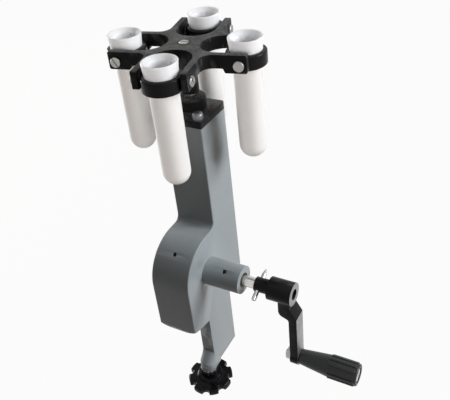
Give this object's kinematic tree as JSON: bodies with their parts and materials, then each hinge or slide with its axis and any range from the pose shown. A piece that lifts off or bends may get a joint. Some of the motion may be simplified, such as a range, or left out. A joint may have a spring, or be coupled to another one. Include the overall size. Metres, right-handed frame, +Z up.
{
  "type": "hand crank centrifuge",
  "caption": "Bench-clamped hand centrifuge: cast column with a gear housing, side crank with a turning grip, worm-driven swing-out rotor with white tube shields, star knob below.",
  "frame": {"origin": "centre of the spindle axis on the foot's flat bottom face", "axes": "+Z up along the spindle, +X along the crank shaft towards the hand, -Y towards the front of the gear housing"},
  "size_m": [0.2271, 0.1394, 0.3699],
  "materials": {
    "body_paint": "grey hammered stove enamel, satin",
    "black_satin": "satin black enamel",
    "black_gloss": "gloss black enamel",
    "bright_steel": "ground and polished",
    "dark_steel": "oiled",
    "nickel": "nickel plated, slightly warm",
    "bronze": "machined bearing bronze",
    "grip_plastic": "black moulded plastic, semi-matt",
    "knob_plastic": "black moulded plastic, glossy",
    "shield_plastic": "white polypropylene, slightly translucent"
  },
  "bodies": {
    "frame": {"body_casting": "body_paint", "gear_cover": "body_paint", "gear_cover_screws": "bright_steel", "bearing_cap": "black_satin", "cap_grub_screws": "dark_steel", "upper_spindle_bush": "bronze", "lower_spindle_bush": "bronze", "thrust_ball": "bright_steel", "inner_crank_bush": "bronze", "outer_crank_bush": "bronze"},
    "rotor": {"spindle": "bright_steel", "worm": "dark_steel", "worm_pin": "bright_steel", "rotor_spider": "black_satin", "rotor_screw": "nickel", "rotor_pin": "bright_steel", "pivot_screws": "nickel"},
    "crank": {"crank_shaft": "bright_steel", "gear_wheel": "bronze", "gear_key": "dark_steel", "crank_arm": "black_gloss", "drive_pin": "bright_steel", "handle_bolt": "bright_steel", "handle_nut": "nickel"},
    "handle": {"handle_grip": "grip_plastic"},
    "clamp_thrust": {"clamp_washer": "bright_steel"},
    "clamp_screw": {"clamp_stud": "bright_steel", "star_knob": "knob_plastic"},
    "bucket_1": {"trunnion_ring_1": "black_gloss", "tube_shield_1": "shield_plastic"},
    "bucket_2": {"trunnion_ring_2": "black_gloss", "tube_shield_2": "shield_plastic"},
    "bucket_3": {"trunnion_ring_3": "black_gloss", "tube_shield_3": "shield_plastic"},
    "bucket_4": {"trunnion_ring_4": "black_gloss", "tube_shield_4": "shield_plastic"}
  },
  "joints": [
    {"name": "crank_turn", "type": "hinge", "parent": "frame", "child": "crank", "pos_m": [0, -0.0368, 0.1421], "axis": [1, 0, 0], "continuous": true},
    {"name": "rotor_spin", "type": "hinge", "parent": "frame", "child": "rotor", "pos_m": [0, 0, 0.3], "axis": [0, 0, 1], "continuous": true},
    {"name": "handle_spin", "type": "hinge", "parent": "crank", "child": "handle", "pos_m": [0.134, -0.0368, 0.0661], "axis": [1, 0, 0], "continuous": true},
    {"name": "bucket_swing_1", "type": "hinge", "parent": "rotor", "child": "bucket_1", "pos_m": [0.04927, 0.00987, 0.3339], "axis": [0.1965, -0.9805, 0], "range_deg": [-5, 90]},
    {"name": "bucket_swing_2", "type": "hinge", "parent": "rotor", "child": "bucket_2", "pos_m": [-0.00987, 0.04927, 0.3339], "axis": [0.9805, 0.1965, 0], "range_deg": [-5, 90]},
    {"name": "bucket_swing_3", "type": "hinge", "parent": "rotor", "child": "bucket_3", "pos_m": [-0.04927, -0.00987, 0.3339], "axis": [-0.1965, 0.9805, 0], "range_deg": [-5, 90]},
    {"name": "bucket_swing_4", "type": "hinge", "parent": "rotor", "child": "bucket_4", "pos_m": [0.00987, -0.04927, 0.3339], "axis": [-0.9805, -0.1965, 0], "range_deg": [-5, 90]},
    {"name": "knob_travel", "type": "slide", "parent": "frame", "child": "clamp_thrust", "axis": [0, 0, -1], "range_m": [0, 0.01]},
    {"name": "knob_turn", "type": "hinge", "parent": "clamp_thrust", "child": "clamp_screw", "pos_m": [0, -0.0345, -0.01], "axis": [0, 0, 1], "range_deg": [-2880, 0]}
  ],
  "couplings": [
    {"joint": "rotor_spin", "follows": "crank_turn", "ratio": -10},
    {"joint": "knob_turn", "follows": "knob_travel", "rad_per_m": -5026.5}
  ]
}
